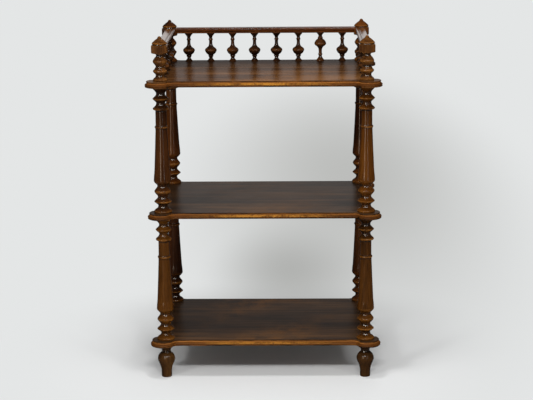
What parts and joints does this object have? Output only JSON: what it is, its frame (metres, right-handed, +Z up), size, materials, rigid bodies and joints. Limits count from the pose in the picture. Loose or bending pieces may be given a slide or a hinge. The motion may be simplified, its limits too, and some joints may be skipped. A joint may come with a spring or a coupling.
{
  "type": "etagere side table",
  "caption": "Etagere side table with open shelves on turned columns and a spindle gallery round the back and sides of the top shelf.",
  "frame": {"origin": "on the floor, midway between the four feet, which is the bottom centre of the whole table", "axes": "+Z up, +X to the right of someone who faces the open front, front towards -Y, back gallery rail towards +Y"},
  "size_m": [0.629, 0.45, 0.9395],
  "materials": {
    "shelf_walnut": "varnished",
    "foot_walnut": "varnished",
    "column_walnut": "varnished",
    "gallery_post_walnut": "varnished",
    "rail_walnut": "varnished",
    "spindle_walnut": "varnished"
  },
  "bodies": {
    "root": {"shelf_bottom": "shelf_walnut", "shelf_middle": "shelf_walnut", "shelf_top": "shelf_walnut", "foot_front_left": "foot_walnut", "foot_front_right": "foot_walnut", "foot_back_left": "foot_walnut", "foot_back_right": "foot_walnut", "lower_column_front_left": "column_walnut", "lower_column_front_right": "column_walnut", "lower_column_back_left": "column_walnut", "lower_column_back_right": "column_walnut", "upper_column_front_left": "column_walnut", "upper_column_front_right": "column_walnut", "upper_column_back_left": "column_walnut", "upper_column_back_right": "column_walnut", "gallery_post_front_left": "gallery_post_walnut", "gallery_post_front_right": "gallery_post_walnut", "gallery_post_back_left": "gallery_post_walnut", "gallery_post_back_right": "gallery_post_walnut", "back_rail": "rail_walnut", "left_rail": "rail_walnut", "right_rail": "rail_walnut", "back_spindle_1": "spindle_walnut", "back_spindle_2": "spindle_walnut", "back_spindle_3": "spindle_walnut", "back_spindle_4": "spindle_walnut", "back_spindle_5": "spindle_walnut", "back_spindle_6": "spindle_walnut", "back_spindle_7": "spindle_walnut", "back_spindle_8": "spindle_walnut", "left_spindle_1": "spindle_walnut", "left_spindle_2": "spindle_walnut", "left_spindle_3": "spindle_walnut", "left_spindle_4": "spindle_walnut", "left_spindle_5": "spindle_walnut", "right_spindle_1": "spindle_walnut", "right_spindle_2": "spindle_walnut", "right_spindle_3": "spindle_walnut", "right_spindle_4": "spindle_walnut", "right_spindle_5": "spindle_walnut"}
  },
  "joints": []
}
